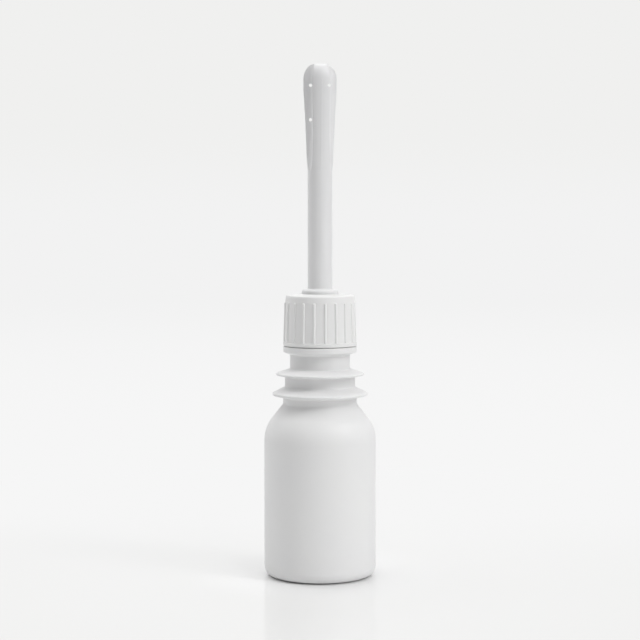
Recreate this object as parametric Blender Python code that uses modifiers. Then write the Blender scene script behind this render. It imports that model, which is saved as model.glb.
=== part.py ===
"""Squeeze irrigator bottle with a two-pleat bellows neck, a ribbed screw cap and a fluted nozzle.

Everything is in metres with +Z up. The origin is the middle of the surface that the bottle stands on,
and the front of the bottle faces -Y. The heights stack up from the base, so a size that changes low
down carries everything above it along.
"""

from math import cos, pi, radians, sin, sqrt

import bmesh
import bpy
from mathutils import Matrix, Vector

# Bottle shell, from the base up
WALL = 0.0009
BODY_RADIUS = 0.02355
FOOT_CORNER_RUN = 0.0026
FOOT_CORNER_RISE = 0.0044
FOOT_RING_WIDTH = 0.0036
BASE_RECESS_DEPTH = 0.0012
BASE_RECESS_RUN = 0.0014
SIDE_TOP_HEIGHT = 0.0571
SHOULDER_ARC_RADIUS = 0.0160
SHOULDER_ANGLE = radians(38.5)
THROAT_RADIUS = 0.0155
THROAT_LENGTH = 0.0022

# Bellows: a wide lower pleat, a plain waist and a narrower upper pleat
SEAM_GAP = 0.0003
PLEAT_WALL = 0.0008
PLEAT_STUB = 0.00035
PLEAT_CREST_DEPTH = 0.0015
LOWER_PLEAT_RADIUS = 0.0201
LOWER_PLEAT_HEIGHT = 0.0054
LOWER_RIM_HEIGHT = 0.0019
LOWER_RIM_THICKNESS = 0.0013
WAIST_RADIUS = 0.01475
WAIST_HEIGHT = 0.0034
UPPER_PLEAT_RADIUS = 0.0186
UPPER_PLEAT_HEIGHT = 0.0043
UPPER_RIM_HEIGHT = 0.0015
UPPER_RIM_THICKNESS = 0.0010

# Neck, transfer ring and screw finish
NECK_RADIUS = 0.01257
NECK_WALL = 0.0010
NECK_LENGTH = 0.0054
RING_CHAMFER = 0.0011
RING_THICKNESS = 0.0034
FINISH_LENGTH = 0.0166
FINISH_WALL = 0.00197
MOUTH_TAPER_LENGTH = 0.0030
RIM_ROUND = 0.0003

# Sealing washer between the rim and the nozzle's flange
SEAT_GAP = 0.0003
WASHER_THICKNESS = 0.0013
WASHER_EDGE_INSET = 0.0002

# Cap: a skirt with ribs between two plain bands
CAP_DRAFT = 0.0003
CAP_RIB_HEIGHT = 0.00035
CAP_RIB_WIDTH = 0.0012
CAP_RIB_COUNT = 20
CAP_RIB_TURN = radians(8.5)
CAP_RIB_ROUND_SHARE = 0.7
CAP_BAND_STEP = 0.00015
CAP_LOWER_BAND = 0.0013
CAP_UPPER_BAND = 0.0029
CAP_EDGE_ROUND = 0.0011
CAP_THREAD_GAP = 0.00138
CAP_WALL = 0.0013
CAP_TOP_WALL = 0.0016
CAP_RING_GAP = 0.0006

# Nozzle below and at the cap: plug, flange and boss
FLANGE_THICKNESS = 0.0014
FLANGE_CLEARANCE = 0.0005
BOSS_RADIUS = 0.00765
BOSS_CLEARANCE = 0.0003
BOSS_RISE = 0.0022
BOSS_ROUND = 0.0006
PLUG_CLEARANCE = 0.0003
PLUG_WALL = 0.0011
PLUG_DEPTH = 0.0080
SOCKET_WALL = 0.0014
SOCKET_DEPTH = 0.0100

# Nozzle stem and its fluted end
STEM_RADIUS = 0.00515
STEM_WALL = 0.0014
STEM_LENGTH = 0.0496
BULB_RADIUS = 0.0070
BULB_LENGTH = 0.0350
BULB_BAND = 0.0030
DOME_HEIGHT = 0.0064
DOME_FLAT_RADIUS = 0.0022
TIP_WALL = 0.0030
FLUTE_CUTTER_RADIUS = 0.0023
FLUTE_FLOOR_STEP = 0.0001
FLUTE_SPREAD = radians(52.4)
FLUTE_TURN = radians(4.5)
FLUTE_LEAD = 0.0060
FLUTE_FADE = 0.0025
FLUTE_BEND = radians(50.0)
HOLE_RADIUS = 0.0007
HOLE_TOP_DROP = 0.0092
HOLE_PITCH = 0.0143

# Rise of the bulb above the stem: share of its length, share of its extra radius
BULB_RISE_SHARES = (
    (0.00, 0.00),
    (0.05, 0.10),
    (0.12, 0.22),
    (0.25, 0.32),
    (0.45, 0.46),
    (0.65, 0.63),
    (0.84, 0.84),
    (1.00, 1.00),
)

# Check valve and dip tube
VALVE_CLEARANCE = 0.0003
VALVE_STOP_THICKNESS = 0.0010
VALVE_FLANGE_WIDTH = 0.0018
VALVE_FLANGE_THICKNESS = 0.0010
VALVE_THROAT_LENGTH = 0.0020
VALVE_SLOT_WIDTH = 0.0012
VALVE_SLOT_COUNT = 4
BALL_RADIUS = 0.0025
BALL_SIDE_CLEARANCE = 0.0005
BALL_TRAVEL = 0.0020
BALL_STOP_OVERLAP = 0.0004
DIP_TUBE_RADIUS = 0.0024
DIP_TUBE_BORE = 0.0017
DIP_TUBE_INSERTION = 0.0060
DIP_TUBE_SLEEVE_WALL = 0.0010
DIP_TUBE_FLOOR_CLEARANCE = 0.0110
DIP_TUBE_SLANT = radians(35.0)

# Cutters run past what they cut by this much
OVERRUN = 0.0010

# Facets round the turned pieces
ROUND_STEPS = 40
STEM_STEPS = 40
SMALL_STEPS = 24
SHARP_ANGLE = radians(32.0)

# Merge distance of the turned profiles
MERGE_DISTANCE = 0.00001

# Heights worked out from the sizes above
SHOULDER_ARC_TOP = SIDE_TOP_HEIGHT + SHOULDER_ARC_RADIUS * sin(SHOULDER_ANGLE)
SHOULDER_ARC_END = BODY_RADIUS - SHOULDER_ARC_RADIUS * (1 - cos(SHOULDER_ANGLE))
THROAT_Z = SHOULDER_ARC_TOP + (SHOULDER_ARC_END - THROAT_RADIUS) * cos(SHOULDER_ANGLE) / sin(SHOULDER_ANGLE)
LOWER_PLEAT_Z = THROAT_Z + THROAT_LENGTH
WAIST_Z = LOWER_PLEAT_Z + LOWER_PLEAT_HEIGHT
UPPER_PLEAT_Z = WAIST_Z + WAIST_HEIGHT
NECK_Z = UPPER_PLEAT_Z + UPPER_PLEAT_HEIGHT
RING_Z = NECK_Z + NECK_LENGTH
FINISH_Z = RING_Z + RING_THICKNESS
RIM_Z = FINISH_Z + FINISH_LENGTH
WASHER_Z = RIM_Z + SEAT_GAP
FLANGE_Z = WASHER_Z + WASHER_THICKNESS + SEAT_GAP
CAP_CEILING_Z = FLANGE_Z + FLANGE_THICKNESS + SEAT_GAP
CAP_TOP_Z = CAP_CEILING_Z + CAP_TOP_WALL
CAP_BOTTOM_Z = FINISH_Z + CAP_RING_GAP
BOSS_TOP_Z = CAP_TOP_Z + BOSS_RISE
BULB_Z = BOSS_TOP_Z + STEM_LENGTH
BULB_BAND_Z = BULB_Z + BULB_LENGTH
DOME_Z = BULB_BAND_Z + BULB_BAND
TIP_Z = DOME_Z + DOME_HEIGHT

# Radii worked out from the sizes above
MOUTH_RADIUS = NECK_RADIUS - FINISH_WALL
CAP_BORE = NECK_RADIUS + CAP_THREAD_GAP
CAP_SKIRT_RADIUS = CAP_BORE + CAP_WALL
CAP_RADIUS = CAP_SKIRT_RADIUS + CAP_BAND_STEP
RING_RADIUS = CAP_RADIUS
STEM_BORE = STEM_RADIUS - STEM_WALL
FLUTE_FLOOR_RADIUS = STEM_RADIUS + FLUTE_FLOOR_STEP
HOLE_OFFSET = FLUTE_FLOOR_RADIUS * sin(FLUTE_SPREAD - FLUTE_TURN)
PLUG_RADIUS = MOUTH_RADIUS - PLUG_CLEARANCE
BALL_CHAMBER_RADIUS = BALL_RADIUS + BALL_SIDE_CLEARANCE
DIP_SLEEVE_BORE = DIP_TUBE_RADIUS + VALVE_CLEARANCE
DIP_SLEEVE_RADIUS = DIP_SLEEVE_BORE + DIP_TUBE_SLEEVE_WALL
VALVE_RADIUS = DIP_SLEEVE_RADIUS + VALVE_CLEARANCE
SOCKET_BORE = VALVE_RADIUS + VALVE_CLEARANCE
SOCKET_RADIUS = SOCKET_BORE + SOCKET_WALL
SOCKET_Z = FLANGE_Z - SOCKET_DEPTH


def collection(name):
    """Makes a collection under the scene's own."""
    made = bpy.data.collections.new(name)
    bpy.context.scene.collection.children.link(made)
    return made


def material(name, colour, roughness):
    """Makes a Principled material of one plain plastic."""
    made = bpy.data.materials.new(name)
    made.use_nodes = True
    shader = made.node_tree.nodes["Principled BSDF"]
    shader.inputs["Base Color"].default_value = (*colour, 1)
    shader.inputs["Roughness"].default_value = roughness
    shader.inputs["Metallic"].default_value = 0
    made.diffuse_color = (*colour, 1)
    return made


def ellipse_arc(centre, radii, start, end, count):
    """Points on an axis-parallel ellipse from angle start to end, both ends included."""
    points = []
    for index in range(count + 1):
        angle = start + (end - start) * index / count
        points.append((centre[0] + radii[0] * cos(angle), centre[1] + radii[1] * sin(angle)))
    return points


def link(name, mesh, group, finish=None):
    """Puts a mesh in a collection as an object with a material."""
    made = bpy.data.objects.new(name, mesh)
    group.objects.link(made)
    if finish is not None:
        mesh.materials.append(finish)
    return made


def turned(name, profile, group, finish=None, closed=True, steps=ROUND_STEPS):
    """Turns a profile of (radius, height) pairs about Z, its outer side running downwards.

    A closed profile is a loop clear of the axis. An open one starts and ends on the axis, or is a thin
    surface that gets its wall afterwards.
    """
    mesh = bpy.data.meshes.new(name)
    edges = [(index, index + 1) for index in range(len(profile) - 1)]
    if closed:
        edges.append((len(profile) - 1, 0))
    mesh.from_pydata([(radius, 0, height) for radius, height in profile], edges, [])
    made = link(name, mesh, group, finish)
    screw = made.modifiers.new("turn", "SCREW")
    screw.axis = "Z"
    screw.angle = 2 * pi
    screw.steps = steps
    screw.render_steps = steps
    screw.use_merge_vertices = True
    screw.merge_threshold = MERGE_DISTANCE
    return made


def hide_tool(tool):
    """Marks an object as a cutter or an adder that isn't a piece itself."""
    tool.hide_render = True
    tool.display_type = "WIRE"


def combine(piece, tool, operation):
    """Cuts a tool out of a piece, or joins it to the piece."""
    change = piece.modifiers.new(operation.lower() + " " + tool.name, "BOOLEAN")
    change.operation = operation
    change.solver = "EXACT"
    change.object = tool
    hide_tool(tool)


def settle(piece):
    """Turns a piece's modifiers into its mesh and shades it smooth up to its sharp edges."""
    seen = piece.evaluated_get(bpy.context.evaluated_depsgraph_get())
    mesh = bpy.data.meshes.new_from_object(seen)
    mesh.name = piece.name
    piece.modifiers.clear()
    piece.data = mesh
    mesh.shade_smooth()
    mesh.set_sharp_from_angle(angle=SHARP_ANGLE)
    return piece


def bottle_body(group, finish):
    """The squeezable bottle from its recessed base to the throat under the bellows."""
    foot = BODY_RADIUS - FOOT_CORNER_RUN
    recess = foot - FOOT_RING_WIDTH
    arc_centre = (BODY_RADIUS - SHOULDER_ARC_RADIUS, SIDE_TOP_HEIGHT)
    shoulder = ellipse_arc(arc_centre, (SHOULDER_ARC_RADIUS,) * 2, SHOULDER_ANGLE, 0, 6)
    corner_centre = (foot, FOOT_CORNER_RISE)
    corner = ellipse_arc(corner_centre, (FOOT_CORNER_RUN, FOOT_CORNER_RISE), 0, -pi / 2, 5)
    step_centre = (recess - BASE_RECESS_RUN, 0)
    step = ellipse_arc(step_centre, (BASE_RECESS_RUN, BASE_RECESS_DEPTH), 0, pi / 2, 3)
    profile = [(THROAT_RADIUS, LOWER_PLEAT_Z - SEAM_GAP / 2), (THROAT_RADIUS, THROAT_Z)]
    profile += shoulder + corner + step + [(0, BASE_RECESS_DEPTH)]
    shell = turned("bottle_body", profile, group, finish, closed=False)
    wall = shell.modifiers.new("wall", "SOLIDIFY")
    wall.thickness = WALL
    wall.offset = -1
    wall.use_even_offset = True
    return settle(shell)


def pleat(name, bottom, below, above, rim, height, rim_height, rim_thickness, group, finish):
    """One hollow pleat of the bellows: a nearly flat underside, a round rim and a cone above.

    bottom is the seam's height, below and above are the outer radii at its two ends, and rim is the
    radius of its edge, rim_height above the seam.
    """
    low = bottom + SEAM_GAP / 2
    high = bottom + height - SEAM_GAP / 2
    rim_z = bottom + rim_height
    half = rim_thickness / 2
    edge = ellipse_arc((rim - half, rim_z), (half, half), pi / 3, -pi / 2, 4)
    outer = [(above, high), (above, high - PLEAT_STUB)] + edge + [(below, low + PLEAT_STUB), (below, low)]
    inner = [
        (below - PLEAT_WALL, low),
        (below - PLEAT_WALL, low + PLEAT_STUB + PLEAT_WALL),
        (rim - PLEAT_CREST_DEPTH, rim_z),
        (above - PLEAT_WALL, high - PLEAT_STUB),
        (above - PLEAT_WALL, high),
    ]
    return settle(turned(name, outer + inner, group, finish))


def pleat_waist(group, finish):
    """The plain band between the two pleats."""
    low = WAIST_Z + SEAM_GAP / 2
    high = UPPER_PLEAT_Z - SEAM_GAP / 2
    bore = WAIST_RADIUS - PLEAT_WALL
    profile = [(WAIST_RADIUS, high), (WAIST_RADIUS, low), (bore, low), (bore, high)]
    return settle(turned("pleat_waist", profile, group, finish))


def bottle_neck(group, finish):
    """The neck with its transfer ring and the finish that takes the cap."""
    low = NECK_Z + SEAM_GAP / 2
    bore = NECK_RADIUS - NECK_WALL
    profile = [
        (NECK_RADIUS - RIM_ROUND, RIM_Z),
        (NECK_RADIUS, RIM_Z - RIM_ROUND),
        (NECK_RADIUS, FINISH_Z),
        (RING_RADIUS - RIM_ROUND, FINISH_Z),
        (RING_RADIUS, FINISH_Z - RIM_ROUND),
        (RING_RADIUS, RING_Z + RING_CHAMFER),
        (NECK_RADIUS + RIM_ROUND, RING_Z),
        (NECK_RADIUS, RING_Z - RIM_ROUND),
        (NECK_RADIUS, low),
        (bore, low),
        (bore, FINISH_Z),
        (MOUTH_RADIUS, FINISH_Z + MOUTH_TAPER_LENGTH),
        (MOUTH_RADIUS, RIM_Z - RIM_ROUND),
        (MOUTH_RADIUS + RIM_ROUND, RIM_Z),
    ]
    return settle(turned("bottle_neck", profile, group, finish))


def sealing_washer(group, finish):
    """The flat washer on the rim."""
    inside = PLUG_RADIUS + PLUG_CLEARANCE
    outside = NECK_RADIUS - WASHER_EDGE_INSET
    top = WASHER_Z + WASHER_THICKNESS
    profile = [(outside, top), (outside, WASHER_Z), (inside, WASHER_Z), (inside, top)]
    return settle(turned("sealing_washer", profile, group, finish))


def cap_ribs(group):
    """The ribs of the cap's skirt as one mesh of separate bars, sunk into the skirt by half its wall."""
    foot = CAP_BOTTOM_Z + CAP_LOWER_BAND
    head = CAP_TOP_Z - CAP_UPPER_BAND
    depth = CAP_RIB_HEIGHT + CAP_WALL / 2
    lean = CAP_DRAFT / (CAP_TOP_Z - CAP_BOTTOM_Z)
    mesh = bpy.data.meshes.new("cap_ribs")
    bars = bmesh.new()
    for index in range(CAP_RIB_COUNT):
        turn = CAP_RIB_TURN - pi / 2 + 2 * pi * index / CAP_RIB_COUNT
        bar = bmesh.ops.create_cube(bars, size=1)["verts"]
        bmesh.ops.scale(bars, verts=bar, vec=(depth, CAP_RIB_WIDTH, head - foot))
        long_edges = [edge for edge in {edge for vert in bar for edge in vert.link_edges}
                      if min(vert.co.x for vert in edge.verts) > 0]
        rounded = bmesh.ops.bevel(bars, geom=long_edges, offset=CAP_RIB_HEIGHT * CAP_RIB_ROUND_SHARE,
                                  segments=2, affect="EDGES", profile=0.5)
        corners = {vert for face in rounded["faces"] for vert in face.verts}
        corners.update(vert for vert in bar if vert.is_valid)
        middle = CAP_SKIRT_RADIUS + CAP_RIB_HEIGHT - depth / 2 - lean * ((head + foot) / 2 - CAP_BOTTOM_Z)
        place = (Matrix.Rotation(turn, 4, "Z") @ Matrix.Translation((middle, 0, (head + foot) / 2))
                 @ Matrix.Rotation(-lean, 4, "Y"))
        bmesh.ops.transform(bars, matrix=place, verts=list(corners))
    bars.to_mesh(mesh)
    bars.free()
    return link("cap_ribs", mesh, group)


def cap(group, tools, finish):
    """The screw cap: a drafted skirt with ribs between two plain bands, and a hole for the nozzle's boss."""
    hole = BOSS_RADIUS + BOSS_CLEARANCE
    band_top = CAP_BOTTOM_Z + CAP_LOWER_BAND
    upper = CAP_TOP_Z - CAP_UPPER_BAND
    head = CAP_RADIUS - CAP_DRAFT
    edge_centre = (head - CAP_EDGE_ROUND, CAP_TOP_Z - CAP_EDGE_ROUND)
    edge = ellipse_arc(edge_centre, (CAP_EDGE_ROUND,) * 2, pi / 2, 0, 4)
    profile = [(hole, CAP_TOP_Z)] + edge + [
        (head, upper),
        (head - CAP_BAND_STEP, upper - CAP_BAND_STEP),
        (CAP_SKIRT_RADIUS, band_top + CAP_BAND_STEP),
        (CAP_RADIUS, band_top),
        (CAP_RADIUS, CAP_BOTTOM_Z + RIM_ROUND),
        (CAP_RADIUS - RIM_ROUND, CAP_BOTTOM_Z),
        (CAP_BORE + RIM_ROUND, CAP_BOTTOM_Z),
        (CAP_BORE, CAP_BOTTOM_Z + RIM_ROUND),
        (CAP_BORE, CAP_CEILING_Z),
        (hole, CAP_CEILING_Z),
    ]
    piece = turned("cap", profile, group, finish)
    combine(piece, cap_ribs(tools), "UNION")
    return settle(piece)


def flute_cutter(index, tools):
    """A round bar that follows the bulb's side and bends over the dome, as a mesh.

    The bars lie in pairs on either side of the front and the back ridge, and each one rises faster than
    the dome bends, so that its flute runs out just before the top.
    """
    reach = FLUTE_FLOOR_RADIUS + FLUTE_CUTTER_RADIUS
    path = [(reach, BULB_Z - FLUTE_LEAD), (reach, BULB_BAND_Z)]
    path += ellipse_arc((DOME_FLAT_RADIUS, DOME_Z), (reach - DOME_FLAT_RADIUS, DOME_HEIGHT + FLUTE_FADE),
                        0, FLUTE_BEND, 8)
    along = (Vector(path[-1]) - Vector(path[-2])).normalized()
    path.append(tuple(Vector(path[-1]) + along * (DOME_HEIGHT + OVERRUN)))
    ridge = -pi / 2 if index < 2 else pi / 2
    turn = FLUTE_TURN + ridge + (FLUTE_SPREAD if index % 2 else -FLUTE_SPREAD)
    name = f"flute_cutter_{index + 1}"
    curve = bpy.data.curves.new(name, "CURVE")
    curve.dimensions = "3D"
    curve.bevel_depth = FLUTE_CUTTER_RADIUS
    curve.bevel_resolution = 6
    curve.use_fill_caps = True
    spline = curve.splines.new("POLY")
    spline.points.add(len(path) - 1)
    for point, (radius, height) in zip(spline.points, path):
        point.co = (radius * cos(turn), radius * sin(turn), height, 1)
    bar = link(name, curve, tools)
    mesh = bpy.data.meshes.new_from_object(bar.evaluated_get(bpy.context.evaluated_depsgraph_get()))
    solid = bmesh.new()
    solid.from_mesh(mesh)
    bmesh.ops.remove_doubles(solid, verts=solid.verts, dist=MERGE_DISTANCE)
    bmesh.ops.recalc_face_normals(solid, faces=solid.faces)
    solid.to_mesh(mesh)
    solid.free()
    cutter = link(name + "_mesh", mesh, tools)
    cutter.matrix_world = bar.matrix_world
    bpy.data.objects.remove(bar)
    return cutter


def hole_cutters(tools):
    """Three straight pins along Y: two through the left pair of flutes and one through the right pair."""
    upper = TIP_Z - HOLE_TOP_DROP
    places = ((-HOLE_OFFSET, upper), (-HOLE_OFFSET, upper - HOLE_PITCH), (HOLE_OFFSET, upper))
    mesh = bpy.data.meshes.new("hole_cutters")
    pins = bmesh.new()
    for across, height in places:
        place = Matrix.Translation((across, 0, height)) @ Matrix.Rotation(pi / 2, 4, "X")
        bmesh.ops.create_cone(pins, cap_ends=True, segments=12, radius1=HOLE_RADIUS, radius2=HOLE_RADIUS,
                              depth=2 * (BULB_RADIUS + OVERRUN), matrix=place)
    pins.to_mesh(mesh)
    pins.free()
    return link("hole_cutters", mesh, tools)


def nozzle(group, tools, finish):
    """The nozzle in one moulding: plug, flange, boss, stem and the fluted, holed end."""
    extra = BULB_RADIUS - STEM_RADIUS
    dome_radii = (BULB_RADIUS - DOME_FLAT_RADIUS, DOME_HEIGHT)
    dome = [(0, TIP_Z)] + ellipse_arc((DOME_FLAT_RADIUS, DOME_Z), dome_radii, pi / 2, 0, 8)
    bulb = [(STEM_RADIUS + share * extra, BULB_Z + along * BULB_LENGTH)
            for along, share in reversed(BULB_RISE_SHARES)]
    edge_centre = (BOSS_RADIUS - BOSS_ROUND, BOSS_TOP_Z - BOSS_ROUND)
    edge = ellipse_arc(edge_centre, (BOSS_ROUND,) * 2, pi / 2, 0, 3)
    flange = CAP_BORE - FLANGE_CLEARANCE
    flange_top = FLANGE_Z + FLANGE_THICKNESS
    plug_low = FLANGE_Z - PLUG_DEPTH
    bore_top = TIP_Z - TIP_WALL
    profile = dome + bulb + [(STEM_RADIUS, BOSS_TOP_Z)] + edge + [
        (BOSS_RADIUS, flange_top),
        (flange, flange_top),
        (flange, FLANGE_Z),
        (PLUG_RADIUS, FLANGE_Z),
        (PLUG_RADIUS, plug_low + RIM_ROUND),
        (PLUG_RADIUS - RIM_ROUND, plug_low),
        (PLUG_RADIUS - PLUG_WALL, plug_low),
        (PLUG_RADIUS - PLUG_WALL, FLANGE_Z),
        (SOCKET_RADIUS, FLANGE_Z),
        (SOCKET_RADIUS, SOCKET_Z),
        (SOCKET_BORE, SOCKET_Z),
        (SOCKET_BORE, FLANGE_Z),
        (STEM_BORE, FLANGE_Z),
        (STEM_BORE, bore_top - STEM_BORE / 2),
        (STEM_BORE / 2, bore_top),
        (0, bore_top),
    ]
    piece = turned("nozzle", profile, group, finish, closed=False, steps=STEM_STEPS)
    for index in range(4):
        combine(piece, flute_cutter(index, tools), "DIFFERENCE")
    combine(piece, hole_cutters(tools), "DIFFERENCE")
    return settle(piece)


def seat_heights():
    """Heights inside the valve: sleeve foot, throat foot, seat foot, seat head, ball centre and stop."""
    flange_low = SOCKET_Z - VALVE_CLEARANCE - VALVE_FLANGE_THICKNESS
    throat_low = flange_low
    seat_low = throat_low + VALVE_THROAT_LENGTH
    seat_high = seat_low + BALL_CHAMBER_RADIUS - DIP_TUBE_BORE
    ball = seat_low - DIP_TUBE_BORE + (BALL_RADIUS + VALVE_CLEARANCE) * sqrt(2)
    stop_radius = BALL_RADIUS - BALL_STOP_OVERLAP
    stop = ball + BALL_TRAVEL + sqrt(BALL_RADIUS ** 2 - stop_radius ** 2) + VALVE_CLEARANCE
    return throat_low - DIP_TUBE_INSERTION, throat_low, seat_low, seat_high, ball, stop


def valve_seat(group, tools, finish):
    """The valve's body: a sleeve for the dip tube, a cone that the ball closes and a slotted stop above."""
    foot, throat_low, seat_low, seat_high, _, stop = seat_heights()
    top = stop + VALVE_STOP_THICKNESS
    flange_low = SOCKET_Z - VALVE_CLEARANCE - VALVE_FLANGE_THICKNESS
    stop_radius = BALL_RADIUS - BALL_STOP_OVERLAP
    profile = [
        (VALVE_RADIUS, top),
        (VALVE_RADIUS, SOCKET_Z - VALVE_CLEARANCE),
        (VALVE_RADIUS + VALVE_FLANGE_WIDTH, SOCKET_Z - VALVE_CLEARANCE),
        (VALVE_RADIUS + VALVE_FLANGE_WIDTH, flange_low),
        (DIP_SLEEVE_RADIUS, flange_low),
        (DIP_SLEEVE_RADIUS, foot),
        (DIP_SLEEVE_BORE, foot),
        (DIP_SLEEVE_BORE, throat_low),
        (DIP_TUBE_BORE, throat_low),
        (DIP_TUBE_BORE, seat_low),
        (BALL_CHAMBER_RADIUS, seat_high),
        (BALL_CHAMBER_RADIUS, stop),
        (stop_radius, stop),
        (stop_radius, top),
    ]
    piece = turned("valve_seat", profile, group, finish, steps=SMALL_STEPS)
    mesh = bpy.data.meshes.new("valve_slots")
    slots = bmesh.new()
    for index in range(VALVE_SLOT_COUNT // 2):
        turn = 2 * pi * index / VALVE_SLOT_COUNT
        size = (2 * BALL_CHAMBER_RADIUS, VALVE_SLOT_WIDTH, VALVE_STOP_THICKNESS + 2 * OVERRUN)
        bar = bmesh.ops.create_cube(slots, size=1)["verts"]
        bmesh.ops.scale(slots, verts=bar, vec=size)
        place = Matrix.Translation((0, 0, stop + VALVE_STOP_THICKNESS / 2)) @ Matrix.Rotation(turn, 4, "Z")
        bmesh.ops.transform(slots, matrix=place, verts=bar)
    slots.to_mesh(mesh)
    slots.free()
    cutter = link("valve_slots", mesh, tools)
    combine(piece, cutter, "DIFFERENCE")
    piece.modifiers[-1].use_self = True
    return settle(piece)


def valve_ball(group, finish):
    """The loose ball, its origin at its centre on the slide's axis."""
    mesh = bpy.data.meshes.new("valve_ball")
    ball = bmesh.new()
    bmesh.ops.create_uvsphere(ball, u_segments=SMALL_STEPS // 2, v_segments=8, radius=BALL_RADIUS)
    ball.to_mesh(mesh)
    ball.free()
    piece = link("valve_ball", mesh, group, finish)
    piece.location = (0, 0, seat_heights()[4])
    return settle(piece)


def dip_tube(group, tools, finish):
    """The straight suction tube, its foot cut on the slant so that it can't close itself on the base."""
    foot = BASE_RECESS_DEPTH + WALL + DIP_TUBE_FLOOR_CLEARANCE
    top = seat_heights()[1] - VALVE_CLEARANCE
    piece = turned("dip_tube", [(DIP_TUBE_RADIUS, top), (DIP_TUBE_RADIUS, foot), (DIP_TUBE_BORE, foot),
                                (DIP_TUBE_BORE, top)], group, finish, steps=SMALL_STEPS)
    size = 4 * DIP_TUBE_RADIUS
    mesh = bpy.data.meshes.new("slant_cutter")
    block = bmesh.new()
    bmesh.ops.create_cube(block, size=size)
    bmesh.ops.translate(block, verts=block.verts, vec=(0, 0, -size / 2))
    block.to_mesh(mesh)
    block.free()
    cutter = link("slant_cutter", mesh, tools)
    cutter.rotation_euler = (0, -DIP_TUBE_SLANT, 0)
    cutter.location = (0, 0, foot + DIP_TUBE_RADIUS * sin(DIP_TUBE_SLANT) / cos(DIP_TUBE_SLANT))
    combine(piece, cutter, "DIFFERENCE")
    bpy.context.view_layer.update()
    return settle(piece)


def main():
    """Builds every piece of the bottle."""
    for old in list(bpy.data.objects):
        bpy.data.objects.remove(old)
    parts = collection("bellows_bottle")
    tools = collection("bellows_bottle_tools")
    squeeze_plastic = material("white low-density polyethylene", (0.80, 0.80, 0.79), 0.48)
    cap_plastic = material("white polypropylene", (0.82, 0.82, 0.81), 0.42)
    nozzle_plastic = material("white medium-density polyethylene", (0.79, 0.79, 0.79), 0.40)
    foam = material("white foamed polyethylene", (0.85, 0.85, 0.84), 0.70)
    natural = material("natural polyethylene", (0.83, 0.84, 0.82), 0.35)
    bottle_body(parts, squeeze_plastic)
    pleat("lower_pleat", LOWER_PLEAT_Z, THROAT_RADIUS, WAIST_RADIUS, LOWER_PLEAT_RADIUS, LOWER_PLEAT_HEIGHT,
          LOWER_RIM_HEIGHT, LOWER_RIM_THICKNESS, parts, squeeze_plastic)
    pleat_waist(parts, squeeze_plastic)
    pleat("upper_pleat", UPPER_PLEAT_Z, WAIST_RADIUS, NECK_RADIUS, UPPER_PLEAT_RADIUS, UPPER_PLEAT_HEIGHT,
          UPPER_RIM_HEIGHT, UPPER_RIM_THICKNESS, parts, squeeze_plastic)
    bottle_neck(parts, squeeze_plastic)
    sealing_washer(parts, foam)
    cap(parts, tools, cap_plastic)
    nozzle(parts, tools, nozzle_plastic)
    valve_seat(parts, tools, natural)
    valve_ball(parts, natural)
    dip_tube(parts, tools, natural)


main()
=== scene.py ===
"""Squeeze irrigator bottle with a bellows neck: its visible surfaces, finishes, light and camera.

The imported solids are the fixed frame. Each sub-assembly below is a class that holds its sizes in
millimetres, works out its surfaces as whole arrays of points and lays them on the frame's bodies.
"""

import logging
from dataclasses import dataclass
from enum import Enum
from math import cos, pi, radians, sin, tan
from typing import Any, NamedTuple

import bpy
import numpy as np
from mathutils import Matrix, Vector


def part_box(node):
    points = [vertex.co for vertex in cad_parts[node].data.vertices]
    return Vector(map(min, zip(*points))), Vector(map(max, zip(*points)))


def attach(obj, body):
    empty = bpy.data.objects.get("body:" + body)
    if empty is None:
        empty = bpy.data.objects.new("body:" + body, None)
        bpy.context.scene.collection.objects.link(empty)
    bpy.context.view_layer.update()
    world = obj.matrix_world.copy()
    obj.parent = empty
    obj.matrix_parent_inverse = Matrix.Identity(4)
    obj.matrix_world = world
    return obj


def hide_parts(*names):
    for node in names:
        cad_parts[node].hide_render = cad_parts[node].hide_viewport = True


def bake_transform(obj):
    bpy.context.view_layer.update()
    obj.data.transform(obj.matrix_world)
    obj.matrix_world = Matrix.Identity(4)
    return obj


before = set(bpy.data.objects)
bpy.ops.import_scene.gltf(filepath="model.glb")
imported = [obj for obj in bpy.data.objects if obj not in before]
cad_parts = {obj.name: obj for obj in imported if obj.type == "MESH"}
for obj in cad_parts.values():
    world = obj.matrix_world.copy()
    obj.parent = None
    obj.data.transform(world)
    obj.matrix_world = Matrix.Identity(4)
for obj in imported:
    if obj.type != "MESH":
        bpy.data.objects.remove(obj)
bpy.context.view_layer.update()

Array = np.ndarray
Pair = tuple[float, float]
Thing = bpy.types.Object
Material = bpy.types.Material
Tree = bpy.types.NodeTree
Socket = bpy.types.NodeSocket
MM = 0.001
LOG = logging.getLogger("bellows_bottle")


def foot_of(node: str) -> float:
    """Height of a solid's lowest point, in millimetres."""
    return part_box(node)[0].z / MM


def head_of(node: str) -> float:
    """Height of a solid's highest point, in millimetres."""
    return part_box(node)[1].z / MM


def reach_of(node: str) -> float:
    """Largest distance of a turned solid from the axis, in millimetres."""
    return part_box(node)[1].x / MM


# Gap between the solids of the bellows, then height and width of the mould lines, in millimetres.
SEAM = 0.3
LINE_HEIGHT = 0.05
LINE_WIDTH = 0.14
# Angles of the mould lines in degrees, columns round a turned piece, and the angle of a sharp edge.
PARTING = (0, 180)
COLUMNS = 176
SHARP = radians(38)


class Body(Enum):
    """The frame's bodies that pieces ride on."""

    BOTTLE = "bottle"
    LOWER_BELLOWS = "lower_bellows"
    WAIST = "waist"
    UPPER_BELLOWS = "upper_bellows"
    NECK = "neck"
    WASHER = "washer"
    NOZZLE = "nozzle"
    BALL = "ball"
    CAP = "cap"


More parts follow.
